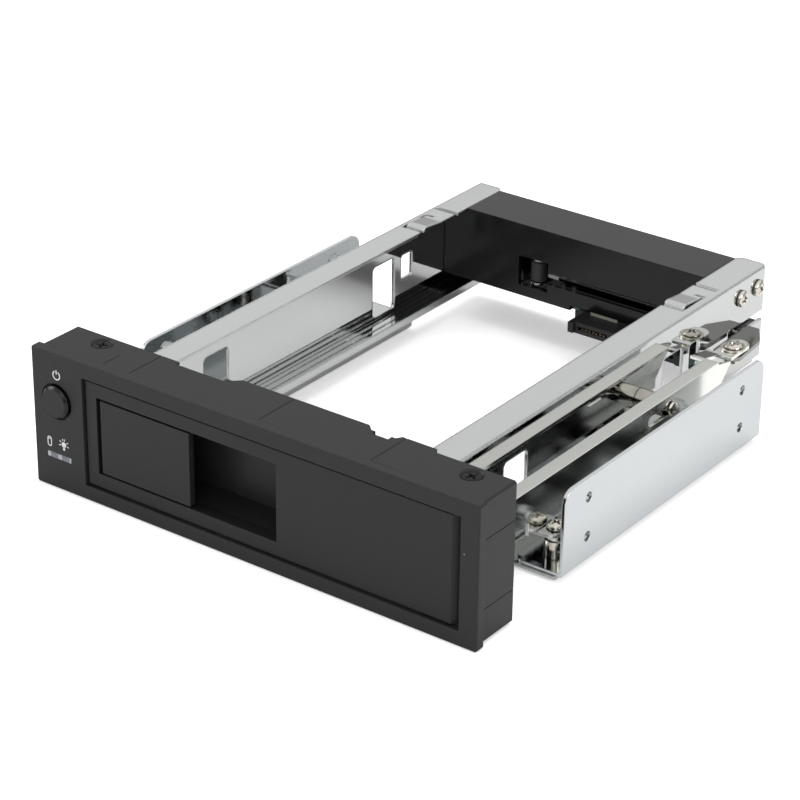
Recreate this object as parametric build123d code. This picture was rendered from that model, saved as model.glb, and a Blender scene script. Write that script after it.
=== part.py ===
from build123d import *
import math
import os

# All sizes are millimetres. X runs to the right, Y to the rear, Z up. Sizes are written with the
# bezel's front face at Y 0 and its lower edge at Z 0; export moves the whole to its middle.

# Bezel
BEZEL_OVERHANG = 2.0
BEZEL_HEIGHT = 42.0
LIP_DEPTH = 3.05
BEZEL_DEPTH = 17.5
BEZEL_STEP = 1.05
BEZEL_STEP_TOP = 0.5
BEZEL_WALL = 2.0
BEZEL_CORNER = 0.5
LIP_ROUND = 0.35
SEAM = 0.3
SCALLOP = 1.6
TONGUE = 1.9
CONTROL_STRIP = 18.4
DOOR_SIDE_MARGIN = 5.6
DOOR_LOW_MARGIN = 4.5
DOOR_TOP_MARGIN = 4.6
SCREW_IN = 13.05
SCREW_SHIFT = 1.3
BEZEL_SCREW_Y = 13.2

# Drive that the cage holds, and the cage's sheet
DRIVE_WIDTH = 101.6
DRIVE_BOTTOM = 10.0
DRIVE_FRONT = 13.1
DRIVE_LENGTH = 147.0
SIDE_PLAY = 0.2
SHEET = 1.0
RAIL_BEND = 1.4
FINGER_AHEAD = 22.4
FINGER_LENGTH = 11.0
FINGER_SLIT = 1.7
FINGER_RISE = 0.7
TOP_FLANGE_Z = 37.7
FLANGE_REACH = 9.3
RAIL_FRONT = 14.2
FLANGE_FRONT = 18.3
HOUSING_DEPTH = 19.4
CONNECTOR_DEPTH = 6.1

# Bay that the whole slides into
BAY_WIDTH = 146.0
BRACKET_FRONT = 41.9
BRACKET_LENGTH = 102.6
BRACKET_TOP = 27.0
BRACKET_IN = 8.3
FOOT_Z = 0.6
HOLE_PITCH_Y = 79.25
HOLE_PITCH_Z = 11.8
HOLE_FRONT_Y = 53.35
HOLE_LOW_Z = 9.3
HOLE_R = 1.5
COLLAR_R = 2.5
COLLAR_OUT = 1.3

# Lanced ears and posts
WINDOW_FRONT = 44.3
WINDOW_LENGTH = 11.0
WINDOW_LOW = 11.0
WINDOW_HIGH = 27.8
EAR_OVER = 2.5
EAR_Z = 10.0
POST_OUT = 3.0
POST_R = 3.0
POST_BORE = 1.5

# Door
DOOR_RECESS = 0.8
DOOR_GAP = 0.6
DOOR_TOP_GAP = 0.8
DOOR_SHEET = 2.2
HINGE_IN = 11.4
HINGE_Y = 6.2
HINGE_PIN_R = 1.0
KNUCKLE_R = 2.6
TUB_WALL = 1.0
TUB_BACK = 12.6
TUB_IN = 4.4
TUB_LENGTH = 62.3
TUB_LOW = 9.3
TUB_HIGH = 32.5
HEEL_REACH = 8.0
HEEL_R = 1.6
HEEL_HUB_R = 2.0

# Latch
LATCH_LENGTH = 32.1
LATCH_SHEET = 2.0
LATCH_PIN_IN = 2.3
LATCH_PIN_Y = 3.0
LATCH_PIN_R = 0.8
LATCH_GAP = 0.6
HOOK_REACH = 1.6
HOOK_BACK = 10.4

# Push button and its board
BUTTON_IN = 8.8
BUTTON_Z = 27.3
BUTTON_R = 4.8
BUTTON_RECESS_R = 5.4
BUTTON_PROUD = 1.3
BUTTON_TRAVEL = 1.0
LAMP_Z = 10.15
LAMP_WIDTH = 9.3
LAMP_HEIGHT = 2.1
BOARD = 1.6

# Rear housing
HOUSING_PLAY = 0.5
HOUSING_WALL = 2.0
HOUSING_LOW = 14.0
LEVER_Z = 20.6
LEVER_SHEET = 1.25
PIVOT_IN = 23.0
PIVOT_BEHIND = 6.9
ROLLER_SPAN = 45.5
ROLLER_AHEAD = 3.3
ROLLER_R = 2.5
ROLLER_HEIGHT = 6.5
ROLLER_MIDDLE = 22.4
COVER_HEAD = 1.3
CONNECTOR_IN = 30.32
CONNECTOR_Z = 12.55

# Actuator arm
ARM_OUT = 4.5
ARM_TOP = 25.0
ARM_FLANGE = 4.5
ARM_FRONT = 8.05
ARM_WEB_AHEAD = 15.1
ARM_JOGGLE = 9.0
ARM_DROP = 1.8
ARM_TRAVEL = 9.74
ARM_PIN_OUT = 1.0
ARM_PIN_AHEAD = 16.4
ARM_PIN_R = 1.5
GUIDE_Y = 111.4
GUIDE_Z = 20.7

# Clearances
RUN = 0.05
GAP = 0.3

# Sizes that follow from the ones above
HALF = BAY_WIDTH / 2 + BEZEL_OVERHANG
BODY_HALF = HALF - BEZEL_STEP
INNER = DRIVE_WIDTH / 2 + SIDE_PLAY
WEB = INNER + SHEET
DRIVE_REAR = DRIVE_FRONT + DRIVE_LENGTH
HOUSING_FRONT = DRIVE_REAR + HOUSING_PLAY
REAR = HOUSING_FRONT + HOUSING_DEPTH
FINGER_FRONT = HOUSING_FRONT - FINGER_AHEAD
PIVOT_Y = HOUSING_FRONT + PIVOT_BEHIND
ROLLER_Y = PIVOT_Y - ROLLER_AHEAD
ARM_PIN_Y = PIVOT_Y - ARM_PIN_AHEAD
ARM_WEB_REAR = ARM_PIN_Y - ARM_WEB_AHEAD
OPEN_LEFT = -HALF + CONTROL_STRIP
OPEN_RIGHT = HALF - DOOR_SIDE_MARGIN
OPEN_LOW = DOOR_LOW_MARGIN
OPEN_HIGH = BEZEL_HEIGHT - DOOR_TOP_MARGIN
DOOR_BACK = DOOR_RECESS + DOOR_SHEET
BODY_LOW = BEZEL_STEP_TOP
BODY_HIGH = BEZEL_HEIGHT - BODY_LOW
CAVITY_LOW = BODY_LOW + BEZEL_WALL
CAVITY_HIGH = BODY_HIGH - BEZEL_WALL
FLANGE_LOW = TOP_FLANGE_Z - SHEET
EAR_TAB_Z = OPEN_HIGH
BRACKET_X = BAY_WIDTH / 2
TUB_LEFT = OPEN_LEFT + TUB_IN
TUB_RIGHT = TUB_LEFT + TUB_LENGTH
LATCH_LEFT = TUB_LEFT + 0.7
LATCH_RIGHT = LATCH_LEFT + LATCH_LENGTH
LATCH_PIN_X = TUB_LEFT + LATCH_PIN_IN
HOOK_TIP = OPEN_LEFT - HOOK_REACH
BUTTON_X = -HALF + BUTTON_IN
LAMP_X = BUTTON_X
HINGE_X = OPEN_RIGHT - HINGE_IN
ARM_OUTER = HINGE_X + ARM_OUT
ARM_PIN_X = HINGE_X + ARM_PIN_OUT
POST_X = ARM_OUTER + POST_OUT
PIVOT_X = INNER - PIVOT_IN
ROLLER_X = PIVOT_X - ROLLER_SPAN
CONNECTOR_X = INNER - CONNECTOR_IN
BRACKET_LOW = FOOT_Z + SHEET
WINDOWS = (WINDOW_FRONT, WINDOW_FRONT + HOLE_PITCH_Y)
LEVER_TOP = LEVER_Z + LEVER_SHEET
ARM_TAB_LOW = ARM_TOP - SHEET - ARM_DROP
Y_SHIFT = (BUTTON_PROUD - REAR - COVER_HEAD) / 2
SIDES = ((-1, "left"), (1, "right"))

nodes = {}


def rect(a, b, radius=0.0):
    """A rectangle between two limits on each of its axes, with round corners if asked."""
    width = a[1] - a[0]
    height = b[1] - b[0]
    middle = Pos((a[0] + a[1]) / 2, (b[0] + b[1]) / 2)
    if radius > 0:
        return middle * RectangleRounded(width, height, radius)
    return middle * Rectangle(width, height)


def along_x(outline, x):
    """Push an outline drawn in Y and Z through a span of X."""
    return extrude(Plane.YZ.offset(x[0]) * outline, x[1] - x[0])


def along_y(outline, y):
    """Push an outline drawn in X and Z through a span of Y."""
    return extrude(Plane.XZ.offset(-y[1]) * outline, y[1] - y[0])


def along_z(outline, z):
    """Push an outline drawn in X and Y through a span of Z."""
    return extrude(Plane.XY.offset(z[0]) * outline, z[1] - z[0])


def block(x, y, z):
    return along_z(rect(x, y), z)


def disc(x, y, radius):
    return Pos(x, y) * Circle(radius)


def plain(radius, sides=12):
    """A polygon in place of the circle of a threaded shank, a hidden bore or a repeated head."""
    return RegularPolygon(radius, sides)


def hull2(first, second):
    """The outline that wraps two circles."""
    return make_hull(first.edges() + second.edges())


def screw(head_r, head_z, shank_r, shank_z, flat=False):
    """A screw along Z at the origin: its head between head_z, its shank between shank_z."""
    if flat:
        head = Pos(0, 0, (head_z[0] + head_z[1]) / 2) * Cone(shank_r, head_r, head_z[1] - head_z[0])
    else:
        head = along_z(plain(head_r, 24), head_z)
        head = chamfer(head.edges().group_by(Axis.Z)[-1], (head_z[1] - head_z[0]) * 0.45)
    return head + along_z(plain(shank_r), shank_z)


def lay_x(part, side, x, y, z):
    """Turn a part drawn along Z so that its top faces out to one side, and place it."""
    return Pos(x, y, z) * Rot(0, 90 * side, 0) * part


# Bezel: a moulded frame, open at the rear, with the control strip on its left.

def bezel_screw_x(side):
    """Where a top screw sits: the pair is a little right of the middle."""
    return side * (HALF - SCREW_IN) + SCREW_SHIFT


def make_bezel():
    outline = rect((-HALF, HALF), (0, BEZEL_HEIGHT))
    lip = along_y(chamfer(outline.vertices(), BEZEL_CORNER), (0, LIP_DEPTH))
    lip = chamfer(lip.edges().group_by(Axis.Y)[0], LIP_ROUND)
    outline = rect((-BODY_HALF, BODY_HALF), (BODY_LOW, BODY_HIGH))
    body = along_y(chamfer(outline.vertices(), BEZEL_CORNER), (LIP_DEPTH, BEZEL_DEPTH))
    cavity = block((-BODY_HALF + BEZEL_WALL, BODY_HALF - BEZEL_WALL),
                   (LIP_DEPTH, BEZEL_DEPTH + 5), (CAVITY_LOW, CAVITY_HIGH))
    shell = lip + body + rear_tongues() - cavity - rear_scallops()
    shell -= along_y(rect((OPEN_LEFT, OPEN_RIGHT), (OPEN_LOW, OPEN_HIGH)), (-1, LIP_DEPTH + 0.01))
    # Wall that parts the control strip from the drive opening, with the latch keeper on it
    wall_x = (HOOK_TIP - GAP * 3 - 1.0, HOOK_TIP - GAP * 3)
    shell += block(wall_x, (LIP_DEPTH, RAIL_FRONT), (CAVITY_LOW, EAR_TAB_Z - GAP))
    keeper_back = HOOK_BACK - 1.5 - GAP
    shell += block((wall_x[1], OPEN_LEFT - 0.3), (keeper_back - 1.4, keeper_back), (15.5, 26.5))
    # Push button bore with its guide sleeve, and the lamp window
    shell += along_y(Pos(BUTTON_X, BUTTON_Z) * plain(BUTTON_RECESS_R + 0.3), (LIP_DEPTH, LIP_DEPTH + 2))
    shell -= along_y(Pos(BUTTON_X, BUTTON_Z) * Circle(BUTTON_R + 0.15), (-1, LIP_DEPTH + 2.1))
    shell -= along_y(Pos(BUTTON_X, BUTTON_Z) * Circle(BUTTON_RECESS_R), (-1, 0.7))
    shell -= along_y(Pos(LAMP_X, LAMP_Z) * Rectangle(LAMP_WIDTH, LAMP_HEIGHT), (-1, LIP_DEPTH + 0.1))
    # Bosses for the board's two screws
    for z in BOARD_SCREWS_Z:
        boss = along_y(Pos(BOARD_SCREW_X, z) * (plain(2.2) - plain(0.8)), (LIP_DEPTH, FRONT_BOARD_Y))
        shell += boss
    # Bosses for the top screws, countersunk in the outer face
    for side, _ in SIDES:
        x = bezel_screw_x(side)
        shell += along_z(Pos(x, BEZEL_SCREW_Y) * plain(3.6), (EAR_TAB_Z + SHEET, CAVITY_HIGH))
        shell -= along_z(Pos(x, BEZEL_SCREW_Y) * plain(1.65), (EAR_TAB_Z, BEZEL_HEIGHT))
        shell -= Pos(x, BEZEL_SCREW_Y, BODY_HIGH - 0.9) * Cone(1.6, 3.4, 1.82)
    # Bosses that hold the door's two hinge pins
    for low, high in ((OPEN_HIGH - 0.2, CAVITY_HIGH), (CAVITY_LOW, OPEN_LOW + 0.2)):
        shell += along_z(Pos(HINGE_X, HINGE_Y) * plain(KNUCKLE_R), (low, high))
    shell -= along_z(disc(HINGE_X, HINGE_Y, HINGE_PIN_R), (CAVITY_LOW, CAVITY_HIGH))
    # Seam grooves of the mould's slides across the top and the sides
    groove = (BODY_HIGH - SEAM / 2, BEZEL_HEIGHT + 1)
    for x, y in ((-52.0, 10.9), (-42.7, BEZEL_DEPTH + 3), (1.9, BEZEL_DEPTH + 3), (38.5, BEZEL_DEPTH + 3)):
        shell -= block((x - SEAM / 2, x + SEAM / 2), (LIP_DEPTH + 1, y), groove)
    shell -= block((38.5, 47.0), (LIP_DEPTH + 0.4, LIP_DEPTH + 0.8), groove)
    for z in (10.4, 30.5):
        for side, _ in SIDES:
            x = side * BODY_HALF
            cut = (x - SEAM / 2, x + SEAM / 2)
            shell -= block(cut, (LIP_DEPTH + 1.5, BEZEL_DEPTH + 1), (z - SEAM / 2, z + SEAM / 2))
    return shell


def trapezoid(x, y, lean):
    """An outline in X and Y between two X and two Y limits, its sides leaning in towards the rear."""
    return Polygon((x[0], y[0]), (x[1], y[0]), (x[1] - lean, y[1]), (x[0] + lean, y[1]), align=None)


def rear_tongues():
    """Two shallow tongues that the top wall's rear edge has over the cage."""
    outline = trapezoid((-19.0, 29.5), (BEZEL_DEPTH - 1, BEZEL_DEPTH + TONGUE), 3.0)
    outline += trapezoid((35.5, 50.0), (BEZEL_DEPTH - 1, BEZEL_DEPTH + TONGUE - 0.2), 1.8)
    return along_z(outline, (CAVITY_HIGH, BODY_HIGH))


def rear_scallops():
    """Two dips in the same edge, beside the tongues."""
    outline = rect((-36.5, -19.8), (BEZEL_DEPTH - SCALLOP, BEZEL_DEPTH + 1))
    outline += rect((29.8, 35.0), (BEZEL_DEPTH - SCALLOP, BEZEL_DEPTH + 1))
    return along_z(outline, (CAVITY_HIGH - 1, BODY_HIGH + 1))


FRONT_BOARD_Y = 11.0
BOARD_SCREW_X = BUTTON_X - 2.8
BOARD_SCREWS_Z = (16.5, 34.6)


def make_bezel_screws():
    """Two flat-head screws through the bezel's top into the rails' front tabs."""
    one = screw(2.9, (BODY_HIGH - 1.5, BODY_HIGH - 0.15), 1.5, (EAR_TAB_Z, BODY_HIGH - 1.4), flat=True)
    return Compound(children=[Pos(bezel_screw_x(side), BEZEL_SCREW_Y, 0) * one for side, _ in SIDES])


# Rails: one bent sheet each side, with lanced ears, a wide foot and a front tab under the bezel.

def make_rail(side):
    web = rect((RAIL_FRONT, REAR + 0.2), (8.0, TOP_FLANGE_Z))
    web += rect((BRACKET_FRONT - 0.4, BRACKET_FRONT + BRACKET_LENGTH - 0.5), (FOOT_Z, 9.0))
    for y in WINDOWS:
        web -= rect((y, y + WINDOW_LENGTH), (WINDOW_LOW, WINDOW_HIGH), 1.5)
    web -= rect((FINGER_FRONT - 0.2, FINGER_FRONT + 5.4), (19.0, 27.0), 1.0)
    if side > 0:
        web -= rect((HOUSING_FRONT - 0.6, REAR + 1), (LEVER_Z - 0.6, LEVER_TOP + 1.1))
    web -= rect((RAIL_FRONT - 1, FLANGE_FRONT), (OPEN_HIGH - 0.4, 40))
    for y in HOUSING_SCREWS_Y:
        web -= Pos(y, HOUSING_SCREW_Z) * plain(1.6)
    rail = along_x(web, (INNER, WEB))
    # Top flange with its bend
    flange = rect((INNER - FLANGE_REACH + 1.0, WEB), (FLANGE_FRONT, REAR + 0.2))
    finger_x = (INNER - FLANGE_REACH + 1.0, INNER - 1.8)
    finger_y = (FINGER_FRONT, FINGER_FRONT + FINGER_LENGTH)
    flange -= rect((finger_x[0] - 1, finger_x[1] + 0.6), (finger_y[0] - FINGER_SLIT, finger_y[1] - 1.0))
    flange -= rect((finger_x[1] - 2.5, finger_x[1] + 0.6), (finger_y[1] - 1.1, finger_y[1]))
    flange -= rect((finger_x[0] - 1, finger_x[1] + 1.0), (finger_y[1] + 5.0, finger_y[1] + 6.6))
    flange = fillet(flange.vertices().group_by(Axis.Y)[-1].sort_by(Axis.X)[:1], 2.0)
    rail += along_z(flange, (FLANGE_LOW, TOP_FLANGE_Z))
    top = rail.edges().filter_by(Axis.Y).group_by(Axis.Z)[-1].sort_by(Axis.X)
    rail = fillet(top[-1:], RAIL_BEND)
    # Spring finger in the flange: it rises to the front and ends in a lip bent down
    low, high = FLANGE_LOW, TOP_FLANGE_Z
    rise = FINGER_RISE
    finger = Polygon((finger_y[1] - 0.9, low), (finger_y[1] - 0.9, high), (finger_y[1] - 2.5, high),
                     (finger_y[0] + 1.6, high + rise), (finger_y[0] + 0.4, high + rise - 0.2),
                     (finger_y[0], high + rise - 0.9), (finger_y[0] - 0.3, low + rise - 0.4),
                     (finger_y[0] + 0.6, low + rise - 0.4), (finger_y[0] + 1.0, low + rise),
                     (finger_y[1] - 2.5, low), align=None)
    rail += along_x(finger, finger_x)
    # Front tab, raised above the door's swing and turned outwards under the bezel
    rail += block((INNER, WEB), (RAIL_FRONT, FLANGE_FRONT + 1.5), (36.0, EAR_TAB_Z))
    rail += block((INNER, WEB + 1), (RAIL_FRONT, BEZEL_DEPTH - 0.5), (EAR_TAB_Z, EAR_TAB_Z + SHEET))
    screw_x = abs(bezel_screw_x(side))
    tab = rect((WEB, screw_x + 5.5), (BEZEL_SCREW_Y - 2.9, BEZEL_DEPTH - 0.5), 1.2)
    tab += rect((WEB, WEB + 4), (RAIL_FRONT, BEZEL_DEPTH - 0.5))
    tab -= Pos(screw_x, BEZEL_SCREW_Y) * plain(1.6)
    rail += along_z(tab, (EAR_TAB_Z, EAR_TAB_Z + SHEET))
    # Foot that carries the side bracket
    foot = rect((INNER, BRACKET_X - 2), (BRACKET_FRONT - 0.4, BRACKET_FRONT + BRACKET_LENGTH - 0.5), 0.0)
    rail += along_z(foot, (FOOT_Z, FOOT_Z + SHEET))
    corner = rail.edges().filter_by(Axis.Y).group_by(Axis.Z)[0].sort_by(Axis.X)[:1]
    rail = fillet(corner, SHEET * 0.9)
    # Ears lanced out of the windows
    for y in POSTS_Y:
        ear = rect((INNER, POST_X + EAR_OVER), (y - 4.9, y + 4.9))
        ear = fillet(ear.vertices().sort_by(Axis.X)[-2:], 2.5)
        ear -= Pos(POST_X, y) * plain(POST_BORE + RUN)
        rail += along_z(ear, (EAR_Z, EAR_Z + SHEET))
    return rail if side > 0 else mirror(rail, Plane.YZ)


POSTS_Y = tuple(y + WINDOW_LENGTH / 2 for y in WINDOWS)
HOUSING_SCREWS_Y = (HOUSING_FRONT + 5.9, HOUSING_FRONT + 15.5)
HOUSING_SCREW_Z = 31.5
LEDGE_REACH = 6.0
LEDGE_LEG = 4.0


def make_ledge(side):
    """An angle strip inside the rail on which the drive's edge slides."""
    shape = rect((INNER - LEDGE_REACH, INNER), (DRIVE_BOTTOM - SHEET - 0.1, DRIVE_BOTTOM - 0.1))
    shape += rect((INNER - LEDGE_REACH, INNER - LEDGE_REACH + SHEET),
                  (DRIVE_BOTTOM - 2.6, DRIVE_BOTTOM - 0.1))
    shape += rect((INNER - 0.8, INNER), (DRIVE_BOTTOM - LEDGE_LEG, DRIVE_BOTTOM - 0.1))
    for x in (INNER - LEDGE_REACH + 1.9, INNER - 1.7):
        shape -= rect((x - 0.3, x + 0.3), (DRIVE_BOTTOM - 0.35, DRIVE_BOTTOM))
    ledge = along_y(shape, (FLANGE_FRONT + 1.7, COVER_Y - GAP))
    ledge -= block((INNER - LEDGE_REACH - 1, INNER - LEDGE_REACH + 2.5), (0, FLANGE_FRONT + 4), (0, 20))
    return ledge if side > 0 else mirror(ledge, Plane.YZ)


# Side brackets: the plates that are screwed into a computer's drive bay.

def make_bracket(side):
    plate = rect((BRACKET_FRONT, BRACKET_FRONT + BRACKET_LENGTH), (BRACKET_LOW, BRACKET_TOP))
    plate = fillet(plate.vertices().group_by(Axis.Y)[-1], 4.0)
    bracket = along_x(plate, (BRACKET_X - SHEET, BRACKET_X))
    base = rect((POST_X - BRACKET_IN, BRACKET_X), (BRACKET_FRONT, BRACKET_FRONT + BRACKET_LENGTH))
    base = fillet(base.vertices().group_by(Axis.X)[0], 3.5)
    bracket += along_z(base, (BRACKET_LOW, BRACKET_LOW + SHEET))
    bend = bracket.edges().filter_by(Axis.Y).group_by(Axis.Z)[0].sort_by(Axis.X)[-1:]
    bracket = fillet(bend, SHEET * 0.9)
    # Extruded collars, tapped for the bay's screws
    for y in (HOLE_FRONT_Y, HOLE_FRONT_Y + HOLE_PITCH_Y):
        for z in (HOLE_LOW_Z, HOLE_LOW_Z + HOLE_PITCH_Z):
            bracket += along_x(Pos(y, z) * plain(COLLAR_R, 24),
                               (BRACKET_X - SHEET - COLLAR_OUT, BRACKET_X - SHEET))
            bracket -= along_x(Pos(y, z) * Circle(HOLE_R),
                               (BRACKET_X - SHEET - COLLAR_OUT - 1, BRACKET_X + 1))
    return bracket if side > 0 else mirror(bracket, Plane.YZ)


def at_posts(part):
    """Copies of one part at the four posts between brackets and ears."""
    return Compound(children=[Pos(side * POST_X, y, 0) * part for side, _ in SIDES for y in POSTS_Y])


def make_post():
    low = BRACKET_LOW + SHEET
    post = along_z(plain(POST_R, 24), (low, EAR_Z - 2.2))
    post += along_z(plain(POST_R - 0.5, 24), (EAR_Z - 2.2, EAR_Z))
    return post - along_z(plain(1.25), (low + 2, EAR_Z + 1))


def make_post_screw():
    top = EAR_Z + SHEET
    return screw(2.7, (top, top + 1.9), 1.2, (BRACKET_LOW + SHEET + 3.0, top + 0.2))


# Rear housing: the black moulding between the rails that holds the board and the ejector.

def make_housing():
    wall = HOUSING_WALL
    side_x = INNER - 0.15
    top_x = INNER - FLANGE_REACH + 1.0 - 0.2
    rear = REAR - 1.6
    outer = rect((-side_x, side_x), (HOUSING_LOW, FLANGE_LOW - 0.1))
    shell = along_y(outer, (HOUSING_FRONT, rear))
    shell += block((-top_x, top_x), (HOUSING_FRONT, rear), (FLANGE_LOW - 0.2, TOP_FLANGE_Z))
    shell -= block((-side_x + wall, side_x - wall), (HOUSING_FRONT + wall, rear + 1),
                   (HOUSING_LOW - 1, TOP_FLANGE_Z - wall))
    # Window of the roller and the slot in which the lever swings
    shell -= block((ROLLER_X - 5.3, ROLLER_X + 5.6), (HOUSING_FRONT - 1, HOUSING_FRONT + wall + 0.1),
                   (17.5, 27.2))
    shell -= block((ROLLER_X + 5.5, PIVOT_X - 1), (HOUSING_FRONT - 1, HOUSING_FRONT + wall + 0.1),
                   (20.3, 24.2))
    # Cut-out over the connector
    cut = (CONNECTOR_X - 24.2, CONNECTOR_X + 21.4)
    shell -= block(cut, (HOUSING_FRONT - 1, HOUSING_FRONT + wall + 0.1), (HOUSING_LOW - 1, CONNECTOR_Z + 3))
    # Blind holes in the rear of the wall for the board's screws
    for x in BACK_SCREWS_X:
        shell -= along_y(Pos(x, BACK_SCREW_Z) * plain(0.65),
                         (HOUSING_FRONT + 0.4, HOUSING_FRONT + wall + 0.1))
    # Right side wall, open where the lever goes out
    shell -= block((side_x - wall - 0.1, side_x + 1), (HOUSING_FRONT - 1, rear + 1),
                   (LEVER_Z - 1.5, LEVER_TOP + 2))
    # Shelf and post that carry the lever's pivot
    shelf = block((-side_x + wall, side_x - wall), (HOUSING_FRONT + wall, rear), (16.6, 17.6))
    shelf -= block((ROLLER_X - 5.5, ROLLER_X + 5.5), (HOUSING_FRONT, ROLLER_Y + 8.3), (16, 18))
    shell += shelf
    hub = disc(PIVOT_X, PIVOT_Y, 4.2)
    shell += along_z(hub, (17.6, LEVER_Z - GAP))
    shell += along_z(hub, (LEVER_TOP + GAP, TOP_FLANGE_Z - wall))
    shell -= along_z(disc(PIVOT_X, PIVOT_Y, 1.5), (15, TOP_FLANGE_Z - wall - 1))
    for x in ((ROLLER_X - INNER - 3.5) / 2, INNER - 7.0):
        pillar = along_z(Pos(x, PIVOT_Y) * plain(2.6), (LEVER_TOP + 3.2, TOP_FLANGE_Z - wall))
        shell += pillar
    for side, _ in SIDES:
        for y in HOUSING_SCREWS_Y:
            boss = along_x(Pos(y, HOUSING_SCREW_Z) * plain(2.2), (side_x - wall - 3, side_x - wall))
            hole = along_x(Pos(y, HOUSING_SCREW_Z) * plain(1.25), (side_x - wall - 2.6, side_x + 1))
            if side < 0:
                boss = mirror(boss, Plane.YZ)
                hole = mirror(hole, Plane.YZ)
            shell = shell + boss - hole
    return shell


def make_housing_screws():
    one = screw(2.65, (0, 1.7), 1.2, (-4.0, 0.2))
    children = []
    for side, _ in SIDES:
        for y in HOUSING_SCREWS_Y:
            children.append(lay_x(one, side, side * WEB, y, HOUSING_SCREW_Z))
    return Compound(children=children)


COVER_Y = REAR - 1.6
COVER_SCREWS_X = (-INNER + 7.0, INNER - 7.0)
DATA_X = INNER - 47.0
POWER_X = INNER - 21.0
SOCKET_Z = 12.0


def make_rear_cover():
    """The back plate, with the openings of the two sockets and of the lever's end."""
    side_x = INNER - 0.15
    plate = rect((-side_x, side_x), (6.2, FLANGE_LOW - 0.2), 1.0)
    plate -= rect((DATA_X - 8.2, DATA_X + 8.2), (SOCKET_Z - 3.0, SOCKET_Z + 3.0))
    plate -= rect((POWER_X - 12.2, POWER_X + 12.2), (SOCKET_Z - 3.0, SOCKET_Z + 3.0))
    plate -= rect((INNER - 13.0, side_x + 1), (LEVER_Z - 1.5, LEVER_TOP + 2))
    for index in range(6):
        plate -= Pos(-INNER + 17.0 + 4.0 * index, 27.0) * Rectangle(1.8, 8.0)
    for x in COVER_SCREWS_X:
        plate -= Pos(x, 30.5) * plain(1.3)
    return along_y(plate, (COVER_Y, REAR))


def make_cover_bosses_and_screws():
    one = screw(2.4, (0, COVER_HEAD), 1.2, (-5.0, 0.2))
    return Compound(children=[Pos(x, REAR, 30.5) * Rot(-90, 0, 0) * one for x in COVER_SCREWS_X])


# Board behind the housing's front wall, with the receptacle for the drive and two rear sockets.

BOARD_FRONT = HOUSING_FRONT + HOUSING_WALL + 0.1


def make_backplane():
    right = INNER - LEDGE_REACH - GAP
    board = rect((CONNECTOR_X - 21.6, right), (6.4, 16.4))
    board += rect((BACK_SCREWS_X[0] - 2.5, right), (13.7, 16.4))
    for x in BACK_SCREWS_X:
        board -= Pos(x, BACK_SCREW_Z) * plain(0.7)
    return along_y(board, (BOARD_FRONT, BOARD_FRONT + BOARD))


BACK_SCREWS_X = (CONNECTOR_X - 28.7, INNER - 7.6)
BACK_SCREW_Z = 15.1


def make_receptacle():
    """The drive receptacle: a blade holder with a guide post at each end."""
    front = DRIVE_REAR - CONNECTOR_DEPTH
    low, high = CONNECTOR_Z - 1.85, CONNECTOR_Z + 1.85
    half = 18.05
    body = block((CONNECTOR_X - half, CONNECTOR_X + half), (front, BOARD_FRONT), (low, high))
    slots = block((CONNECTOR_X - half + 1.2, CONNECTOR_X - half + 11.6), (front - 1, front + 5),
                  (CONNECTOR_Z - 0.6, CONNECTOR_Z + 0.6))
    slots += block((CONNECTOR_X - half + 13.2, CONNECTOR_X + half - 1.2), (front - 1, front + 5),
                   (CONNECTOR_Z - 0.6, CONNECTOR_Z + 0.6))
    body -= slots
    for side, _ in SIDES:
        x = CONNECTOR_X + side * (half + 0.9)
        ear = rect((x - 0.95, x + 0.95), (low + 0.2, high - 0.2))
        body += along_y(ear, (front - 1.0, BOARD_FRONT))
    flange = block((CONNECTOR_X - half - 3.0, CONNECTOR_X + half + 3.0), (BOARD_FRONT - 1.8, BOARD_FRONT),
                   (low - 0.6, high + 0.6))
    return body + flange


def make_contacts():
    """Seven signal and fifteen power blades inside the receptacle."""
    front = DRIVE_REAR - CONNECTOR_DEPTH
    first = CONNECTOR_X - 18.05 + 2.4
    children = []
    for index in range(7):
        children.append(first + index * 1.27)
    for index in range(15):
        children.append(first + 12.1 + index * 1.27)
    pins = []
    for x in children:
        pins.append(block((x - 0.3, x + 0.3), (front + 0.8, front + 5.0),
                          (CONNECTOR_Z - 0.6, CONNECTOR_Z - 0.2)))
    return Compound(children=pins)


def make_socket(x, half, key):
    """A rear socket: a shroud with a tongue and a key at one end of it."""
    back = BOARD_FRONT + BOARD
    shroud = rect((x - half, x + half), (SOCKET_Z - 2.8, SOCKET_Z + 2.8))
    body = along_y(shroud, (back, REAR - 0.6))
    body -= along_y(rect((x - half + 1.0, x + half - 1.0), (SOCKET_Z - 1.9, SOCKET_Z + 1.9)),
                    (back + 5, REAR))
    tongue = rect((x - half + 2.2, x + half - 2.2), (SOCKET_Z - 0.6, SOCKET_Z + 0.6))
    tongue += rect((x + half - 2.8, x + half - 2.2), (SOCKET_Z - key, SOCKET_Z + 0.6))
    return body + along_y(tongue, (back + 4.5, REAR - 1.4))


def make_socket_contacts():
    back = BOARD_FRONT + BOARD
    pins = []
    for start, count in ((DATA_X - 3.81 - 0.6, 7), (POWER_X - 8.89 - 0.4, 15)):
        for index in range(count):
            x = start + index * 1.27
            pins.append(block((x - 0.3, x + 0.3), (back + 5.2, REAR - 2.0),
                              (SOCKET_Z + 0.6, SOCKET_Z + 0.9)))
    return Compound(children=pins)


def make_back_screws():
    one = screw(1.25, (0, 0.9), 0.6, (-3.2, 0.2))
    return Compound(children=[Pos(x, BOARD_FRONT + BOARD, BACK_SCREW_Z) * Rot(-90, 0, 0) * one
                              for x in BACK_SCREWS_X])


# Control strip: button, spring, switch, lamps and the small board that carries them.

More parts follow.
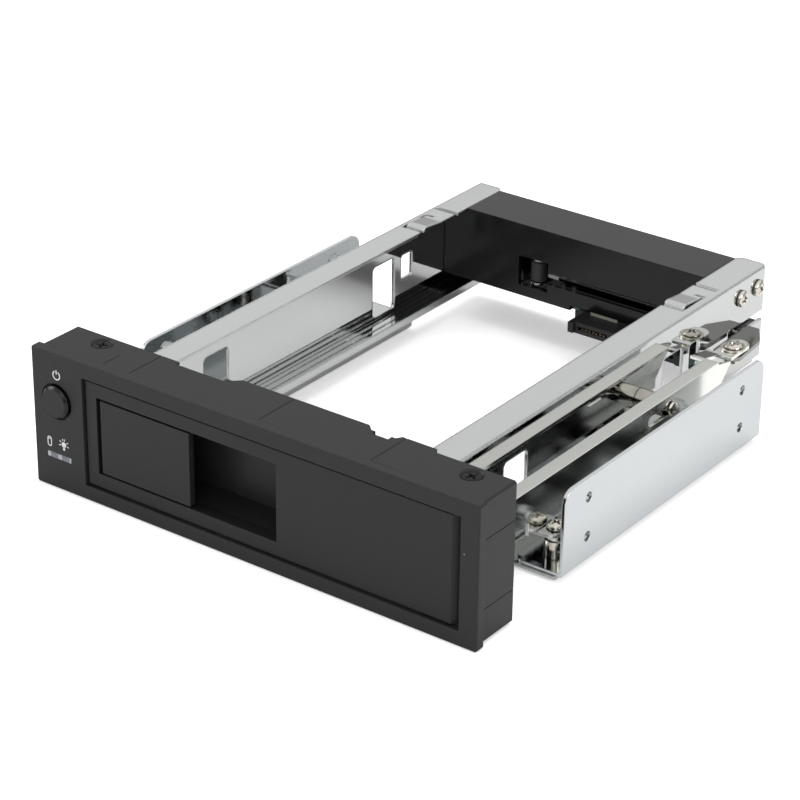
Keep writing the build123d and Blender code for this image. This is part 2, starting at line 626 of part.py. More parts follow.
def make_button():
    reach = 8.2
    cap = along_y(Pos(BUTTON_X, BUTTON_Z) * Circle(BUTTON_R), (-BUTTON_PROUD, 3.4))
    cap = chamfer(cap.edges().group_by(Axis.Y)[0], 0.7)
    cap += along_y(Pos(BUTTON_X, BUTTON_Z) * Circle(BUTTON_R + 0.5), (LIP_DEPTH + 2.3, LIP_DEPTH + 3.1))
    cap += along_y(Pos(BUTTON_X, BUTTON_Z) * Circle(BUTTON_R), (3.0, LIP_DEPTH + 3.1))
    return cap + along_y(Pos(BUTTON_X, BUTTON_Z) * Circle(1.3), (LIP_DEPTH + 3, reach))


def make_front_board():
    board = rect((BUTTON_X - 5.2, BUTTON_X + 5.0), (4.5, 36.3))
    for z in BOARD_SCREWS_Z:
        board -= Pos(BOARD_SCREW_X, z) * plain(0.9)
    return along_y(board, (FRONT_BOARD_Y, FRONT_BOARD_Y + BOARD))


def make_switch():
    low = 8.2 + BUTTON_TRAVEL + GAP
    body = block((BUTTON_X - 3, BUTTON_X + 3), (low + 0.5, FRONT_BOARD_Y), (BUTTON_Z - 3, BUTTON_Z + 3))
    return body + along_y(Pos(BUTTON_X, BUTTON_Z) * Circle(1.5), (low, low + 0.6))


def make_light_window():
    pane = rect((LAMP_X - LAMP_WIDTH / 2 + RUN, LAMP_X + LAMP_WIDTH / 2 - RUN),
                (LAMP_Z - LAMP_HEIGHT / 2 + RUN, LAMP_Z + LAMP_HEIGHT / 2 - RUN))
    pipe = along_y(pane, (0.15, LIP_DEPTH + 0.5))
    for x in (LAMP_X - 2.3, LAMP_X + 2.3):
        pipe += along_y(Pos(x, LAMP_Z) * Circle(1.0), (LIP_DEPTH, FRONT_BOARD_Y - 1.4))
    return pipe


def make_lamps():
    children = []
    for x in (LAMP_X - 2.3, LAMP_X + 2.3):
        children.append(block((x - 1.0, x + 1.0), (FRONT_BOARD_Y - 1.1, FRONT_BOARD_Y),
                              (LAMP_Z - 0.7, LAMP_Z + 0.7)))
    return Compound(children=children)


def make_front_board_screws():
    one = screw(1.9, (0, 1.2), 0.75, (-4.0, 0.2))
    back = FRONT_BOARD_Y + BOARD
    return Compound(children=[Pos(BOARD_SCREW_X, back, z) * Rot(-90, 0, 0) * one for z in BOARD_SCREWS_Z])


# Door: a flush panel with a finger tub, knuckles on its right and a cam heel behind them.

def make_door():
    left = OPEN_LEFT + DOOR_GAP
    right = OPEN_RIGHT - 0.7
    low = OPEN_LOW + DOOR_GAP
    high = OPEN_HIGH - DOOR_TOP_GAP
    panel = along_y(rect((left, right), (low, high)), (DOOR_RECESS, DOOR_BACK))
    tail = Polygon((right - 2.4, DOOR_RECESS - 1), (right + 1, DOOR_RECESS - 1),
                   (right + 1, DOOR_BACK + 0.1),
                   (right, DOOR_BACK), (right - 2.4, DOOR_RECESS), align=None)
    panel -= along_z(tail, (low - 1, high + 1))
    # Finger tub
    outer_x = (TUB_LEFT - TUB_WALL, TUB_RIGHT + TUB_WALL)
    tub = along_z(rect(outer_x, (DOOR_BACK - 0.5, TUB_BACK)), (TUB_LOW - TUB_WALL, TUB_HIGH + TUB_WALL))
    tub = fillet(tub.edges().filter_by(Axis.Z).group_by(Axis.Y)[-1], 1.2)
    door = panel + tub
    slope = Polygon((-1, TUB_LOW), (LATCH_PIN_Y + 1.9, TUB_LOW), (TUB_BACK - TUB_WALL, TUB_LOW + 2.4),
                    (TUB_BACK - TUB_WALL, TUB_HIGH),
                    (-1, TUB_HIGH), align=None)
    door -= along_x(slope, (TUB_LEFT, TUB_RIGHT))
    # Opening of the tub's left wall and its rear corner for the latch's hook
    door -= block((left + 1, TUB_LEFT + 0.9), (DOOR_BACK, TUB_BACK + 1), (17.4, 24.6))
    # Knuckles and cam heel
    for span in ((low, low + 4.5), (high - 4.5, high)):
        door += along_z(disc(HINGE_X, HINGE_Y, KNUCKLE_R) + rect((HINGE_X - KNUCKLE_R, HINGE_X + KNUCKLE_R),
                        (DOOR_BACK - 0.5, HINGE_Y)), span)
    heel_x = HINGE_X + HEEL_REACH * math.cos(math.radians(-8))
    heel_y = HINGE_Y + HEEL_REACH * math.sin(math.radians(-8))
    heel = hull2(disc(HINGE_X, HINGE_Y, HEEL_HUB_R), disc(heel_x, heel_y, HEEL_R))
    heel += rect((HINGE_X - KNUCKLE_R, heel_x - 0.4), (DOOR_BACK - 0.5, HINGE_Y - 0.5))
    door += along_z(heel, (18.0, 29.0))
    # Stiffening ribs on the back, right of the tub
    for x in (24.0, 38.0):
        door += block((x - 0.6, x + 0.6), (DOOR_BACK - 0.2, DOOR_BACK + 4), (low + 2, high - 2))
    door += block((TUB_RIGHT + 0.5, HINGE_X - 6), (DOOR_BACK - 0.2, DOOR_BACK + 4), (20.4, 21.6))
    door -= along_z(disc(HINGE_X, HINGE_Y, HINGE_PIN_R + RUN), (low - 1, low + 4.0))
    door -= along_z(disc(HINGE_X, HINGE_Y, HINGE_PIN_R + RUN), (high - 4.0, high + 1))
    # Holes of the latch's pin in the floor and the roof of the tub
    door -= along_z(disc(LATCH_PIN_X, LATCH_PIN_Y, LATCH_PIN_R), (TUB_LOW - 0.7, TUB_HIGH + 0.7))
    door -= block((TUB_LEFT, TUB_LEFT + 4.4), (DOOR_RECESS - 1, LATCH_PIN_Y + 1.9), (TUB_LOW, TUB_HIGH))
    return door


def make_hinge_pins():
    low = along_z(disc(HINGE_X, HINGE_Y, HINGE_PIN_R), (CAVITY_LOW, OPEN_LOW + DOOR_GAP + 3.8))
    high = along_z(disc(HINGE_X, HINGE_Y, HINGE_PIN_R), (OPEN_HIGH - DOOR_TOP_GAP - 3.8, CAVITY_HIGH))
    return Compound(children=[low, high])


def make_latch():
    low, high = TUB_LOW + LATCH_GAP, TUB_HIGH - LATCH_GAP
    flat = rect((LATCH_LEFT, LATCH_RIGHT), (DOOR_RECESS, DOOR_RECESS + LATCH_SHEET))
    corner = flat.vertices().sort_by(Axis.X)[:2].sort_by(Axis.Y)[:1]
    flat = fillet(corner, 1.2)
    flat += disc(LATCH_PIN_X, LATCH_PIN_Y, 1.7)
    lever = along_z(flat, (low, high))
    root = LATCH_PIN_X
    hook = Polygon((root - 1.4, 3.6), (root + 1.3, 3.6), (root - 0.5, HOOK_BACK), (HOOK_TIP, HOOK_BACK),
                   (HOOK_TIP, HOOK_BACK - 1.5), (root - 4.3, HOOK_BACK - 1.5), align=None)
    lever += along_z(hook, (18.0, 24.0))
    return lever - along_z(disc(LATCH_PIN_X, LATCH_PIN_Y, LATCH_PIN_R + RUN), (low - 1, high + 1))


def make_latch_pin():
    return along_z(disc(LATCH_PIN_X, LATCH_PIN_Y, LATCH_PIN_R), (TUB_LOW - 0.7, TUB_HIGH + 0.7))


# Actuator: the long arm beside the right rail, pushed by the door, and the ejector lever.

def make_arm():
    low = EAR_Z + SHEET + GAP
    web = rect((ARM_FRONT + 3, ARM_WEB_REAR), (low, ARM_TOP))
    web += Polygon((ARM_WEB_REAR - 0.1, ARM_TOP - 0.4), (ARM_WEB_REAR - 0.1, 14.0),
                   (ARM_WEB_REAR + 8, ARM_TOP - 2.6),
                   (ARM_WEB_REAR + 8, ARM_TAB_LOW + 0.5), align=None)
    web -= rect((GUIDE_Y - 1.7 - ARM_TRAVEL - 0.5, GUIDE_Y + 1.7 + 0.4), (GUIDE_Z - 1.6, GUIDE_Z + 1.6),
                1.5)
    web -= rect((0, 41.0), (low - 1, 15.0))
    arm = along_x(web, (ARM_OUTER - SHEET, ARM_OUTER))
    flange = along_z(rect((ARM_OUTER - ARM_FLANGE, ARM_OUTER), (ARM_FRONT + 3, ARM_WEB_REAR + 1)),
                     (ARM_TOP - SHEET, ARM_TOP))
    arm += flange
    # Joggle down to the tab over the ejector lever
    side = Polygon((ARM_WEB_REAR, ARM_TOP - SHEET), (ARM_WEB_REAR, ARM_TOP), (ARM_WEB_REAR + 1, ARM_TOP),
                   (ARM_WEB_REAR + ARM_JOGGLE, ARM_TAB_LOW + SHEET),
                   (ARM_WEB_REAR + ARM_JOGGLE + 1, ARM_TAB_LOW + SHEET),
                   (ARM_WEB_REAR + ARM_JOGGLE + 1, ARM_TAB_LOW), (ARM_WEB_REAR + ARM_JOGGLE, ARM_TAB_LOW),
                   align=None)
    arm += along_x(side, (ARM_OUTER - ARM_FLANGE, ARM_OUTER))
    tab = rect((ARM_PIN_X - 3.4, ARM_PIN_X + 3.0), (ARM_WEB_REAR + ARM_JOGGLE, ARM_PIN_Y + 3.4))
    tab += disc(ARM_PIN_X - 0.2, ARM_PIN_Y + 3.4, 3.2)
    tab -= disc(ARM_PIN_X, ARM_PIN_Y, ARM_PIN_R)
    arm += along_z(tab, (ARM_TAB_LOW, ARM_TAB_LOW + SHEET))
    # Pad at the front, behind the door's cam heel
    pad_left = HINGE_X + HEEL_HUB_R + 0.5
    arm += block((pad_left, ARM_OUTER + 4.2), (ARM_FRONT, ARM_FRONT + SHEET), (19.0, 28.0))
    arm += block((pad_left, ARM_OUTER), (ARM_FRONT, ARM_FRONT + 4), (ARM_TOP - SHEET, ARM_TOP))
    arm += block((ARM_OUTER - SHEET, ARM_OUTER), (ARM_FRONT, ARM_FRONT + 4), (19.0, ARM_TOP))
    return arm


def make_guide_post():
    """The distance post on the rail and, on it, the collar that runs in the arm's slot."""
    post = along_x(Pos(GUIDE_Y, GUIDE_Z) * Circle(3.0), (WEB, ARM_OUTER - SHEET - GAP))
    post += along_x(Pos(GUIDE_Y, GUIDE_Z) * Circle(1.5), (WEB + 2, ARM_OUTER + GAP))
    return post - along_x(Pos(GUIDE_Y, GUIDE_Z) * plain(0.9), (WEB + 4, ARM_OUTER + 2))


def make_guide_screw():
    one = screw(2.1, (0, 1.1), 0.85, (-5.0, 0.2))
    return lay_x(one, 1, ARM_OUTER + GAP, GUIDE_Y, GUIDE_Z)


def make_arm_pivot():
    """The shouldered pivot screw of the tab, which runs in the lever's slot."""
    top = ARM_TAB_LOW + SHEET
    pin = screw(2.7, (top + 0.5, top + 1.6), ARM_PIN_R, (LEVER_Z - 0.6, top + 0.7))
    pin += along_z(Circle(ARM_PIN_R), (LEVER_Z - 0.6, top + 0.6))
    pin += along_z(Circle(2.6), (LEVER_Z - 1.3, LEVER_Z - 0.5))
    return Pos(ARM_PIN_X, ARM_PIN_Y, 0) * pin


def make_arm_washer():
    top = ARM_TAB_LOW + SHEET
    return along_z(disc(ARM_PIN_X, ARM_PIN_Y, 3.6) - disc(ARM_PIN_X, ARM_PIN_Y, ARM_PIN_R),
                   (top, top + 0.5))


def make_lever():
    """The ejector lever, cut from plate, with the roller's fork at its inner end."""
    inner = rect((ROLLER_X, ARM_PIN_X - 2.0), (PIVOT_Y - 2.9, PIVOT_Y + 2.3))
    inner += disc(PIVOT_X, PIVOT_Y, 4.0)
    x, y = ARM_PIN_X, ARM_PIN_Y
    back = PIVOT_Y + 2.3
    outer = Polygon((x - 6.0, back - 3.8), (x - 5.6, y - 1.6), (x - 3.4, y - 3.5), (x + 2.0, y - 3.5),
                    (x + 3.4, y - 1.6),
                    (x + 2.2, back - 6.8), (x - 2.0, back), (x - 7.0, back), align=None)
    flat = inner + outer
    flat += disc(ROLLER_X, ROLLER_Y, 2.3)
    lean = math.degrees(math.atan2(PIVOT_Y - ARM_PIN_Y, ARM_PIN_X - PIVOT_X))
    slot_from = math.hypot(ARM_PIN_X - PIVOT_X, PIVOT_Y - ARM_PIN_Y)
    slot = Pos(PIVOT_X, PIVOT_Y) * Rot(0, 0, -lean) * Pos(slot_from - 1.85, 0) * SlotOverall(3.8 + 4.3, 3.8)
    flat -= slot
    flat -= disc(PIVOT_X, PIVOT_Y, 1.5 + RUN)
    lever = along_z(flat, (LEVER_Z, LEVER_TOP))
    # Fork: two lugs round the roller, joined by a web behind it
    low = ROLLER_MIDDLE - ROLLER_HEIGHT / 2 - GAP - 0.9
    high = ROLLER_MIDDLE + ROLLER_HEIGHT / 2 + GAP
    lug = disc(ROLLER_X, ROLLER_Y, 2.3) + rect((ROLLER_X - 2.3, ROLLER_X + 2.3), (ROLLER_Y, ROLLER_Y + 4.4))
    lever -= along_z(disc(ROLLER_X, ROLLER_Y, ROLLER_R + GAP), (LEVER_Z - 1, LEVER_TOP + 1))
    for z in (low, high):
        lever += along_z(lug - disc(ROLLER_X, ROLLER_Y, 0.9), (z, z + 0.9))
    lever += block((ROLLER_X - 2.3, ROLLER_X + 2.3), (ROLLER_Y + 3.4, ROLLER_Y + 4.4), (low, high + 0.9))
    return lever


def make_lever_pivot():
    pin = along_z(disc(PIVOT_X, PIVOT_Y, 1.5), (16.0, LEVER_TOP + 8))
    return pin


def make_roller():
    low = ROLLER_MIDDLE - ROLLER_HEIGHT / 2
    roller = along_z(disc(ROLLER_X, ROLLER_Y, ROLLER_R), (low, low + ROLLER_HEIGHT))
    roller = chamfer(roller.edges().filter_by(GeomType.CIRCLE), 0.3)
    return roller - along_z(disc(ROLLER_X, ROLLER_Y, 0.9 + RUN), (low - 1, low + ROLLER_HEIGHT + 1))


def make_roller_pin():
    low = ROLLER_MIDDLE - ROLLER_HEIGHT / 2 - GAP - 1.1
    high = ROLLER_MIDDLE + ROLLER_HEIGHT / 2 + GAP + 1.1
    return along_z(disc(ROLLER_X, ROLLER_Y, 0.9), (low, high))


nodes["front_bezel"] = make_bezel()
nodes["bezel_screws"] = make_bezel_screws()
for side, name in SIDES:
    nodes[name + "_rail"] = make_rail(side)
    nodes[name + "_drive_ledge"] = make_ledge(side)
    nodes[name + "_bracket"] = make_bracket(side)
nodes["bracket_posts"] = at_posts(make_post())
nodes["bracket_screws"] = at_posts(make_post_screw())
nodes["rear_housing"] = make_housing()
nodes["housing_screws"] = make_housing_screws()
nodes["rear_cover"] = make_rear_cover()
nodes["cover_screws"] = make_cover_bosses_and_screws()
nodes["backplane_board"] = make_backplane()
nodes["backplane_screw"] = make_back_screws()
nodes["drive_receptacle"] = make_receptacle()
nodes["receptacle_contacts"] = make_contacts()
nodes["data_socket"] = make_socket(DATA_X, 7.9, 1.2)
nodes["power_socket"] = make_socket(POWER_X, 11.9, 1.2)
nodes["socket_contacts"] = make_socket_contacts()
nodes["power_button"] = make_button()
nodes["front_board"] = make_front_board()
nodes["front_board_screws"] = make_front_board_screws()
nodes["button_switch"] = make_switch()
nodes["light_window"] = make_light_window()
nodes["indicator_lamps"] = make_lamps()
nodes["door_panel"] = make_door()
nodes["door_hinge_pins"] = make_hinge_pins()
nodes["latch_lever"] = make_latch()
nodes["latch_pin"] = make_latch_pin()
nodes["actuator_arm"] = make_arm()
nodes["arm_guide_post"] = make_guide_post()
nodes["arm_guide_screw"] = make_guide_screw()
nodes["arm_pivot_screw"] = make_arm_pivot()
nodes["arm_washer"] = make_arm_washer()
nodes["ejector_lever"] = make_lever()
nodes["lever_pivot_pin"] = make_lever_pivot()
nodes["roller"] = make_roller()
nodes["roller_pin"] = make_roller_pin()

os.makedirs("parts", exist_ok=True)
for name, shape in nodes.items():
    export_step(Pos(0, Y_SHIFT, 0) * shape, "parts/" + name + ".step")
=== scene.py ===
import math
import bmesh
import bpy
from mathutils import Matrix, Vector


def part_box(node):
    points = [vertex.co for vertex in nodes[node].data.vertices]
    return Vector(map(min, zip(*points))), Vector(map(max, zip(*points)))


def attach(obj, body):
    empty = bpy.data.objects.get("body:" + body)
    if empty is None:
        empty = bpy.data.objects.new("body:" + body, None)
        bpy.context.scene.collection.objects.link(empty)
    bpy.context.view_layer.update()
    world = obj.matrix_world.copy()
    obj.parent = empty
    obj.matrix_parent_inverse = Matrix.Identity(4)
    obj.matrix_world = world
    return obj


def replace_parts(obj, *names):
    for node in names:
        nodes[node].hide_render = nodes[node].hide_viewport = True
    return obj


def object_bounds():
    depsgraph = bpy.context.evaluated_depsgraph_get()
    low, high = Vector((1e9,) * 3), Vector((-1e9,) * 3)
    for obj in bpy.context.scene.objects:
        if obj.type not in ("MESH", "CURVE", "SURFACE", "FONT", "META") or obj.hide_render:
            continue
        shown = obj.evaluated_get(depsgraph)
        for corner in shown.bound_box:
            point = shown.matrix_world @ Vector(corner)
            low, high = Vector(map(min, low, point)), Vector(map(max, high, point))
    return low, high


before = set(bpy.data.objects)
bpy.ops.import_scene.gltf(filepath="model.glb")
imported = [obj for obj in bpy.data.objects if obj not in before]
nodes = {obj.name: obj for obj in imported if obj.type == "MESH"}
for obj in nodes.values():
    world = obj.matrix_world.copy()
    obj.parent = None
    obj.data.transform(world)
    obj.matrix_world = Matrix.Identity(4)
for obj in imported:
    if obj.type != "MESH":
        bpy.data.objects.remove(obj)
cad_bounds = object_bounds()

# The stage: a pale floor under the cage, a white room, and four large soft lamps.
# Sizes here are in metres, measured from the bezel's front face and lower edge.
front_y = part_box("front_bezel")[0].y


def spot(x, y, z):
    """A point given in millimetres from the middle of the bezel's lower front edge."""
    return Vector((x / 1000, front_y + y / 1000, z / 1000))


def camera_turn(azimuth, elevation, roll):
    """The camera's axes for a view from that side and height, tilted by roll."""
    a, e, r = (math.radians(v) for v in (azimuth, elevation, roll))
    back = Vector((math.sin(a) * math.cos(e), -math.cos(a) * math.cos(e), math.sin(e)))
    right = Vector((math.cos(a), math.sin(a), 0))
    up = back.cross(right)
    tilted_right = right * math.cos(r) + up * math.sin(r)
    tilted_up = up * math.cos(r) - right * math.sin(r)
    return Matrix((tilted_right, tilted_up, back)).transposed()


view = bpy.data.cameras.new("view")
view.sensor_width = 36
view.lens = 125.07
view.clip_end = 20
camera = bpy.data.objects.new("camera", view)
bpy.context.scene.collection.objects.link(camera)
camera.matrix_world = Matrix.Translation(spot(410.73, -491.91, 370.61)) @ camera_turn(36.23, 26.71, 0.71).to_4x4()
bpy.context.scene.camera = camera
bpy.context.scene.view_settings.view_transform = "Standard"


def lamp(name, place, target, size, watts, mirrored=True):
    """A rectangular soft lamp that faces a point, seen in mirrors or not."""
    light = bpy.data.lights.new(name, "AREA")
    light.shape = "RECTANGLE"
    light.size, light.size_y = size
    light.energy = watts
    made = bpy.data.objects.new(name, light)
    bpy.context.scene.collection.objects.link(made)
    made.location = place
    made.rotation_euler = (target - place).to_track_quat("-Z", "Y").to_euler()
    made.visible_glossy = mirrored


middle = spot(0, 90, 15)
lamp("top_lamp", Vector((-0.1, 0.2, 1.3)), middle, (1.2, 1.0), 13.5, mirrored=False)
lamp("left_lamp", Vector((-1.3, -0.5, 0.8)), middle, (0.9, 0.7), 7.0)
lamp("front_lamp", Vector((0.3, -1.4, 0.9)), middle, (0.9, 0.5), 1.6)
lamp("right_lamp", Vector((1.4, -0.1, 0.6)), middle, (0.8, 0.6), 7.0)


class Link:
    """An output of a shader node, so that shader maths reads as plain sums."""

    def __init__(self, tree, socket=None):
        self.tree = tree
        self.socket = socket

    def node(self, kind, settings=None, inputs=None, output=0):
        made = self.tree.nodes.new("ShaderNode" + kind)
        for name, value in (settings or {}).items():
            if name == "stops":
                ramp = made.color_ramp.elements
                while len(ramp) < len(value):
                    ramp.new(0.5)
                for element, (position, colour) in zip(ramp, value):
                    element.position = position
                    element.color = colour
            else:
                setattr(made, name, value)
        for name, value in (inputs or {}).items():
            if isinstance(value, Link):
                self.tree.links.new(value.socket, made.inputs[name])
            else:
                made.inputs[name].default_value = value
        return Link(self.tree, made.outputs[output])

    def maths(self, operation, other, swap=False):
        first, second = (other, self) if swap else (self, other)
        return self.node("Math", {"operation": operation}, {0: first, 1: second})

    def __add__(self, other):
        return self.maths("ADD", other)

    def __mul__(self, other):
        return self.maths("MULTIPLY", other)

    def __sub__(self, other):
        return self.maths("SUBTRACT", other)

    def __rsub__(self, other):
        return self.maths("SUBTRACT", other, swap=True)

    __radd__ = __add__
    __rmul__ = __mul__

    def noise(self, scale, detail=3.0, rough=0.5):
        return self.node("TexNoise", {}, {"Vector": self, "Scale": scale, "Detail": detail, "Roughness": rough})

    def ramp(self, *stops):
        """This value turned into a grey between stops of (position, level)."""
        levels = [(position, (level, level, level, 1)) for position, level in stops]
        return self.node("ValToRGB", {"stops": levels}, {"Fac": self})

    def tint(self, dark, light):
        """A colour between two, by this value."""
        return self.node("Mix", {"data_type": "RGBA"}, {0: self, 6: (*dark, 1), 7: (*light, 1)}, output=2)

    def stretch(self, x, y, z):
        return self.node("Mapping", {}, {"Vector": self, "Scale": (x, y, z)})

    def bump(self, height, strength, distance, normal=None):
        sockets = {"Height": height, "Strength": strength, "Distance": distance}
        if normal:
            sockets["Normal"] = normal
        return self.node("Bump", {}, sockets)


def new_material(name):
    """An empty material and the object coordinates that its patterns read."""
    material = bpy.data.materials.new(name)
    material.use_nodes = True
    material.node_tree.nodes.clear()
    return material, Link(material.node_tree).node("TexCoord", output=3)


def close_material(material, place, sockets):
    """Put the surface shader and the output on a material."""
    surface = place.node("BsdfPrincipled", {}, sockets)
    output = material.node_tree.nodes.new("ShaderNodeOutputMaterial")
    material.node_tree.links.new(surface.socket, output.inputs["Surface"])
    return material


def stage_material():
    """White paper: white to the camera and in reflections, pale grey under the lamps."""
    material = bpy.data.materials.new("studio_paper")
    material.use_nodes = True
    tree = material.node_tree
    tree.nodes.clear()
    start = Link(tree)
    paper = start.node("BsdfDiffuse", {}, {"Color": (0.86, 0.86, 0.86, 1)})
    mirrored = start.node("LightPath", output=3)
    glow = start.node("Emission", {}, {"Color": (1, 1, 1, 1), "Strength": 0.42 - 0.4 * mirrored})
    both = start.node("AddShader", {}, {0: paper, 1: glow})
    output = tree.nodes.new("ShaderNodeOutputMaterial")
    tree.links.new(both.socket, output.inputs["Surface"])
    return material


floor_mesh = bpy.data.meshes.new("floor")
sheet = bmesh.new()
bmesh.ops.create_grid(sheet, x_segments=1, y_segments=1, size=6)
sheet.to_mesh(floor_mesh)
sheet.free()
floor = bpy.data.objects.new("floor", floor_mesh)
bpy.context.scene.collection.objects.link(floor)
floor.location.z = cad_bounds[0][2] - 0.0001
floor_mesh.materials.append(stage_material())

world = bpy.data.worlds.new("room")
bpy.context.scene.world = world
world.use_nodes = True
world.node_tree.nodes.clear()
room = Link(world.node_tree)
seen = room.node("LightPath", output=0)
mirrored = room.node("LightPath", output=3)
through = room.node("LightPath", output=6)
direction = room.node("TexCoord")
height = room.node("SeparateXYZ", {}, {"Vector": direction}, output=2)
walls = height.ramp((0.0, 0.0), (0.15, 0.25), (0.4, 0.95), (0.8, 1.0))
across = room.node("SeparateXYZ", {}, {"Vector": direction}, output=0)
sidelight = (1 - seen - mirrored) * 0.3 * across
level = 0.52 + 0.48 * seen + mirrored * (0.88 * walls - 0.4) + 0.35 * through + sidelight
air = room.node("Background", {}, {"Color": (1, 1, 1, 1), "Strength": level})
world_output = world.node_tree.nodes.new("ShaderNodeOutputWorld")
world.node_tree.links.new(air.socket, world_output.inputs["Surface"])


# The bezel is moulded in black plastic with a fine spark-eroded grain all over, slightly
# shinier where hands rub it. Its corners are barely rounded.
def grained_plastic(name, colour, lighter, rough, grain, edge, gloss):
    material, place = new_material(name)
    cloud = place.noise(60, 4)
    speck = place.noise(2600, 2, 0.6)
    dust = place.node("TexVoronoi", {}, {"Vector": place, "Scale": 120.0}, output=0)
    mote = dust.ramp((0.0, 1.0), (0.022, 0.9), (0.03, 0.0))
    sparse = place.noise(45, 1).ramp((0.56, 0.0), (0.6, 1.0))
    round_edge = place.node("Bevel", {"samples": 4}, {"Radius": edge})
    skin = place.bump(speck, grain, 0.00004, round_edge)
    plain = (cloud * 0.7 + speck * 0.3).tint(colour, lighter)
    dusty = place.node("Mix", {"data_type": "RGBA"}, {0: mote * sparse, 6: plain, 7: (0.3, 0.3, 0.3, 1)}, output=2)
    return close_material(material, place, {
        "Base Color": dusty,
        "Roughness": rough - 0.05 + 0.1 * cloud,
        "Specular IOR Level": gloss,
        "Normal": skin,
    })


def dress(material, *names):
    """Give CAD nodes a material."""
    for name in names:
        node = nodes[name]
        node.data.materials.clear()
        node.data.materials.append(material)


bezel_black = grained_plastic("bezel_black", (0.014, 0.0142, 0.0145), (0.0195, 0.0198, 0.0205), 0.46, 0.5, 0.00035, 0.24)
dress(bezel_black, "front_bezel", "rear_cover")


# Three white pictograms printed on the control strip: power, disk activity and lamp.
# They are thin pad-printed ink, drawn here as plain outlines.
def ink_white():
    material, place = new_material("white_ink")
    wear = place.noise(900, 3)
    return close_material(material, place, {
        "Base Color": wear.tint((0.55, 0.56, 0.57), (0.74, 0.74, 0.75)),
        "Roughness": 0.5 + 0.2 * wear,
    })


INK_THICK = 0.00006


def stroke(mesh, start, end, width):
    """A straight ink stroke between two points of the strip, in X and Z."""
    (x1, z1), (x2, z2) = start, end
    length = math.hypot(x2 - x1, z2 - z1)
    turn = Matrix.Rotation(-math.atan2(z2 - z1, x2 - x1), 4, "Y")
    centre = spot((x1 + x2) / 2, 0, (z1 + z2) / 2)
    size = Matrix.Diagonal((length / 1000, INK_THICK, width / 1000, 1))
    bmesh.ops.create_cube(mesh, size=1, matrix=Matrix.Translation(centre) @ turn @ size)


def ring_stroke(mesh, centre, radius, width, start, sweep, squash=1.0):
    """An ink stroke along part of a ring, by spinning its small square end."""
    x, z = centre
    middle_point = spot(x, 0, z)
    steps = max(6, int(abs(sweep) / 12))
    half = width / 2000
    corners = []
    for along, deep in ((-half, -1), (half, -1), (half, 1), (-half, 1)):
        reach = radius / 1000 + along
        angle = math.radians(start)
        corners.append(mesh.verts.new(middle_point + Vector((reach * math.cos(angle), deep * INK_THICK / 2,
                                                             reach * math.sin(angle)))))
    face = mesh.faces.new(corners)
    geometry = [face, *face.edges, *face.verts]
    bmesh.ops.spin(mesh, geom=geometry, cent=middle_point, axis=(0, -1, 0), dvec=(0, 0, 0),
                   angle=math.radians(sweep), steps=steps, use_merge=abs(sweep) > 359,
                   use_normal_flip=False, use_duplicate=False)


def finish_piece(mesh, name, material, body):
    """Turn a bmesh into a piece with outward normals that rides on a body."""
    bmesh.ops.recalc_face_normals(mesh, faces=mesh.faces)
    data = bpy.data.meshes.new(name)
    mesh.to_mesh(data)
    mesh.free()
    piece = bpy.data.objects.new(name, data)
    bpy.context.scene.collection.objects.link(piece)
    data.materials.append(material)
    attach(piece, body)
    return piece


white_ink = ink_white()
power_mark = bmesh.new()
ring_stroke(power_mark, (-65.8, 35.4), 1.25, 0.34, 118, 304)
stroke(power_mark, (-65.8, 35.7), (-65.8, 37.0), 0.34)
finish_piece(power_mark, "power_mark", white_ink, "frame")

disk_mark = bmesh.new()
for x in (-70.15, -68.85):
    stroke(disk_mark, (x, 13.3), (x, 15.1), 0.3)
ring_stroke(disk_mark, (-69.5, 14.95), 0.65, 0.3, 10, 160)
ring_stroke(disk_mark, (-69.5, 13.45), 0.65, 0.3, 190, 160)
ring_stroke(disk_mark, (-69.5, 15.6), 0.62, 0.26, 220, 100)
finish_piece(disk_mark, "disk_mark", white_ink, "frame")

lamp_mark = bmesh.new()
ring_stroke(lamp_mark, (-64.2, 14.55), 0.42, 0.84, 0, 360)
stroke(lamp_mark, (-64.2, 12.85), (-64.2, 14.0), 0.72)
for angle in (-12, 33, 78, 102, 147, 192):
    ray = (math.cos(math.radians(angle)), math.sin(math.radians(angle)))
    stroke(lamp_mark, (-64.2 + 1.2 * ray[0], 14.55 + 1.2 * ray[1]), (-64.2 + 1.85 * ray[0], 14.55 + 1.85 * ray[1]), 0.26)
finish_piece(lamp_mark, "lamp_mark", white_ink, "frame")


# The push button is a glossier black cap whose face was turned in fine rings. Below it a
# clear strip window covers the two lamps on the small front board.
def turned_cap(centre):
    """Black gloss whose face is cut with fine rings round the cap's middle."""
    material, place = new_material("turned_cap")
    shifted = place.node("Mapping", {}, {"Vector": place, "Location": (-centre.x, -centre.y, -centre.z)})
    rings = shifted.node("TexWave", {"wave_type": "RINGS", "rings_direction": "Y"},
                         {"Vector": shifted, "Scale": 1400.0, "Distortion": 0.4, "Detail": 1.0}, output=1)
    cloud = place.noise(400, 3)
    round_edge = place.node("Bevel", {"samples": 4}, {"Radius": 0.0002})
    return close_material(material, place, {
        "Base Color": cloud.tint((0.003, 0.003, 0.0033), (0.006, 0.006, 0.0065)),
        "Roughness": 0.16 + 0.1 * cloud,
        "Specular IOR Level": 0.32,
        "Normal": place.bump(rings, 0.12, 0.00004, round_edge),
    })


button_centre = (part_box("power_button")[0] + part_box("power_button")[1]) / 2
dress(turned_cap(button_centre), "power_button")
switch_black = grained_plastic("switch_black", (0.009, 0.009, 0.0095), (0.014, 0.014, 0.0145), 0.4, 0.15, 0.0003, 0.25)
dress(switch_black, "button_switch")


